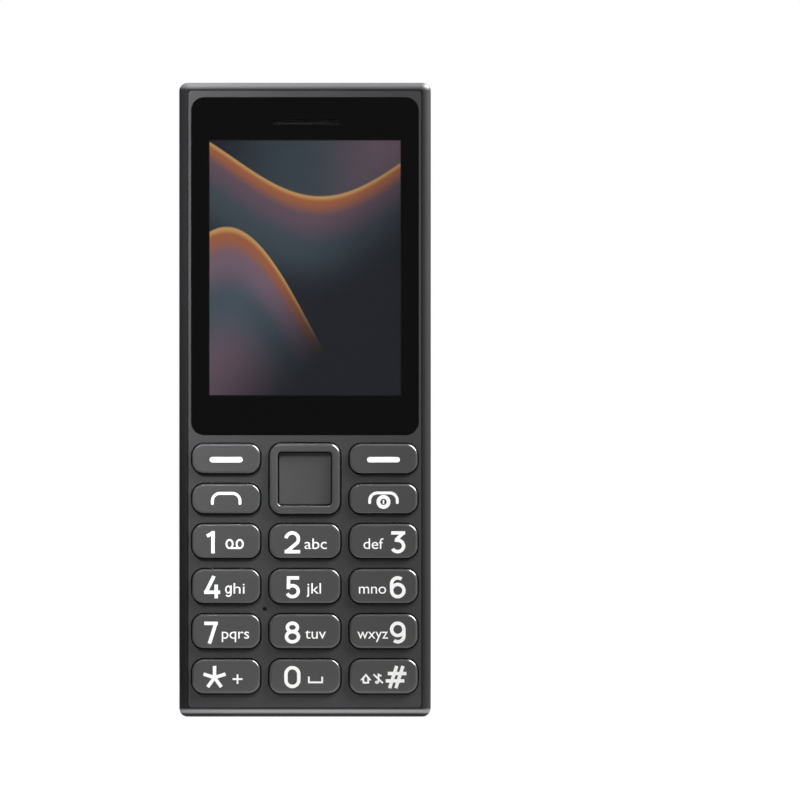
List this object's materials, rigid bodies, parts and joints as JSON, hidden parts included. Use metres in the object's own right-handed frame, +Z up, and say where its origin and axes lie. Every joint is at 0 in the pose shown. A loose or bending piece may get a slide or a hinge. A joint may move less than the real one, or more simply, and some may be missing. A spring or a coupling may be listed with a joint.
{
  "type": "keypad phone",
  "caption": "Bar-shaped mobile phone: screen over a keypad with a four-way navigation key, in a core that snaps into a wrap-round rear cover.",
  "frame": {"origin": "centre of the lower end in X and Y, on the surface that the phone stands on", "axes": "+Z up from the keypad end to the earpiece end, +X to the right seen from the front, +Y from the front face to the rear cover"},
  "size_m": [0.0484, 0.0152, 0.1219],
  "materials": {
    "cover_plastic": "satin",
    "housing_plastic": "satin",
    "chassis_plastic": "matte",
    "key_plastic": "satin",
    "lens": "polished",
    "ink": "matte",
    "adhesive": "matte",
    "mesh": "woven",
    "steel": "satin",
    "lcd_panel": "glossy",
    "white_plastic": "glossy",
    "polyimide": "glossy",
    "silicone": "matte",
    "dome_steel": "satin",
    "circuit_board": "glossy",
    "black_plastic": "matte",
    "foam": "matte",
    "contact_gold": "polished",
    "battery_can": "matte",
    "screw_steel": "satin"
  },
  "bodies": {
    "phone_core": {"antenna": "polyimide", "audio_jack": "black_plastic", "baseband_shield": "steel", "battery": "battery_can", "battery_connector": "black_plastic", "battery_springs": "contact_gold", "card_socket": "steel", "chassis": "chassis_plastic", "display_lens": "lens", "dome_sheet": "dome_steel", "earpiece_mesh": "mesh", "earpiece_speaker": "black_plastic", "front_housing": "housing_plastic", "housing_screws": "screw_steel", "keypad_mat": "silicone", "lcd_backlight": "white_plastic", "lcd_bezel": "steel", "lcd_flex": "polyimide", "lcd_glass": "lcd_panel", "lens_adhesive": "adhesive", "lens_mask": "ink", "loudspeaker": "black_plastic", "main_board": "circuit_board", "microphone": "steel", "microphone_boot": "silicone", "rf_shield": "steel", "sim_socket_1": "steel", "sim_socket_2": "steel", "speaker_gasket": "foam", "speaker_mesh": "mesh", "torch_led": "white_plastic", "torch_lens": "lens", "usb_socket": "steel", "usb_tongue": "black_plastic", "vibration_motor": "steel"},
    "key_soft_left": {"key_soft_left": "key_plastic"},
    "key_soft_right": {"key_soft_right": "key_plastic"},
    "key_call": {"key_call": "key_plastic"},
    "key_end": {"key_end": "key_plastic"},
    "key_1": {"key_1": "key_plastic"},
    "key_2": {"key_2": "key_plastic"},
    "key_3": {"key_3": "key_plastic"},
    "key_4": {"key_4": "key_plastic"},
    "key_5": {"key_5": "key_plastic"},
    "key_6": {"key_6": "key_plastic"},
    "key_7": {"key_7": "key_plastic"},
    "key_8": {"key_8": "key_plastic"},
    "key_9": {"key_9": "key_plastic"},
    "key_star": {"key_star": "key_plastic"},
    "key_0": {"key_0": "key_plastic"},
    "key_hash": {"key_hash": "key_plastic"},
    "nav_pad": {"nav_pad": "silicone"},
    "nav_ring": {"nav_ring": "key_plastic"},
    "nav_select": {"nav_select": "key_plastic"},
    "rear_cover": {"rear_cover": "cover_plastic"}
  },
  "joints": [
    {"name": "key_soft_left_press", "type": "slide", "parent": "phone_core", "child": "key_soft_left", "axis": [0, 1, 0], "range_m": [0, 0.00035], "stiffness_N_per_m": 1500, "springref_m": -0.0005},
    {"name": "key_soft_right_press", "type": "slide", "parent": "phone_core", "child": "key_soft_right", "axis": [0, 1, 0], "range_m": [0, 0.00035], "stiffness_N_per_m": 1500, "springref_m": -0.0005},
    {"name": "key_call_press", "type": "slide", "parent": "phone_core", "child": "key_call", "axis": [0, 1, 0], "range_m": [0, 0.00035], "stiffness_N_per_m": 1500, "springref_m": -0.0005},
    {"name": "key_end_press", "type": "slide", "parent": "phone_core", "child": "key_end", "axis": [0, 1, 0], "range_m": [0, 0.00035], "stiffness_N_per_m": 1500, "springref_m": -0.0005},
    {"name": "key_1_press", "type": "slide", "parent": "phone_core", "child": "key_1", "axis": [0, 1, 0], "range_m": [0, 0.00035], "stiffness_N_per_m": 1500, "springref_m": -0.0005},
    {"name": "key_2_press", "type": "slide", "parent": "phone_core", "child": "key_2", "axis": [0, 1, 0], "range_m": [0, 0.00035], "stiffness_N_per_m": 1500, "springref_m": -0.0005},
    {"name": "key_3_press", "type": "slide", "parent": "phone_core", "child": "key_3", "axis": [0, 1, 0], "range_m": [0, 0.00035], "stiffness_N_per_m": 1500, "springref_m": -0.0005},
    {"name": "key_4_press", "type": "slide", "parent": "phone_core", "child": "key_4", "axis": [0, 1, 0], "range_m": [0, 0.00035], "stiffness_N_per_m": 1500, "springref_m": -0.0005},
    {"name": "key_5_press", "type": "slide", "parent": "phone_core", "child": "key_5", "axis": [0, 1, 0], "range_m": [0, 0.00035], "stiffness_N_per_m": 1500, "springref_m": -0.0005},
    {"name": "key_6_press", "type": "slide", "parent": "phone_core", "child": "key_6", "axis": [0, 1, 0], "range_m": [0, 0.00035], "stiffness_N_per_m": 1500, "springref_m": -0.0005},
    {"name": "key_7_press", "type": "slide", "parent": "phone_core", "child": "key_7", "axis": [0, 1, 0], "range_m": [0, 0.00035], "stiffness_N_per_m": 1500, "springref_m": -0.0005},
    {"name": "key_8_press", "type": "slide", "parent": "phone_core", "child": "key_8", "axis": [0, 1, 0], "range_m": [0, 0.00035], "stiffness_N_per_m": 1500, "springref_m": -0.0005},
    {"name": "key_9_press", "type": "slide", "parent": "phone_core", "child": "key_9", "axis": [0, 1, 0], "range_m": [0, 0.00035], "stiffness_N_per_m": 1500, "springref_m": -0.0005},
    {"name": "key_star_press", "type": "slide", "parent": "phone_core", "child": "key_star", "axis": [0, 1, 0], "range_m": [0, 0.00035], "stiffness_N_per_m": 1500, "springref_m": -0.0005},
    {"name": "key_0_press", "type": "slide", "parent": "phone_core", "child": "key_0", "axis": [0, 1, 0], "range_m": [0, 0.00035], "stiffness_N_per_m": 1500, "springref_m": -0.0005},
    {"name": "key_hash_press", "type": "slide", "parent": "phone_core", "child": "key_hash", "axis": [0, 1, 0], "range_m": [0, 0.00035], "stiffness_N_per_m": 1500, "springref_m": -0.0005},
    {"name": "nav_select_press", "type": "slide", "parent": "phone_core", "child": "nav_select", "axis": [0, 1, 0], "range_m": [0, 0.00035], "stiffness_N_per_m": 1500, "springref_m": -0.0005},
    {"name": "nav_up_down", "type": "hinge", "parent": "phone_core", "child": "nav_pad", "pos_m": [0, -0.00545, 0.0458], "axis": [1, 0, 0], "range_deg": [-1.8, 1.8], "stiffness_Nm_per_rad": 0.2},
    {"name": "nav_left_right", "type": "hinge", "parent": "nav_pad", "child": "nav_ring", "pos_m": [0, -0.00545, 0.0458], "axis": [0, 0, 1], "range_deg": [-1.8, 1.8], "stiffness_Nm_per_rad": 0.2},
    {"name": "rear_cover_lift", "type": "slide", "parent": "phone_core", "child": "rear_cover", "axis": [0, 1, 0], "range_m": [0, 0.04]}
  ]
}
